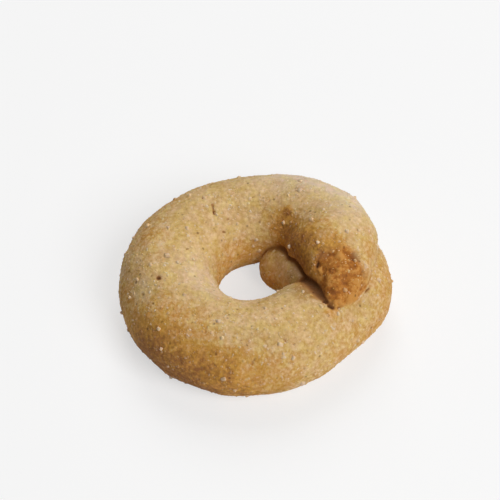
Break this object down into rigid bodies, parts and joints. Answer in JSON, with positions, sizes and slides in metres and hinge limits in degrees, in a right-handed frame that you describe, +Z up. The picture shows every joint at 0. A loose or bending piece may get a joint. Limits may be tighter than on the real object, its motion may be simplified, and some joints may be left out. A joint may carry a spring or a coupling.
{
  "type": "ring cookie",
  "caption": "Ring-shaped sugared cookie of one thick rope of pale golden dough, its ends crossing at one side of a small open hole.",
  "frame": {"origin": "middle of the cookie's bounding box, on the flat sole that it rests on", "axes": "+Z up from the sole, +X towards the side where the ends of the rope cross, -Y towards the viewer of the picture"},
  "size_m": [0.0598, 0.0572, 0.023],
  "materials": {
    "dough": "matte, grainy with sugar"
  },
  "bodies": {
    "root": {"cookie": "dough"}
  },
  "joints": []
}
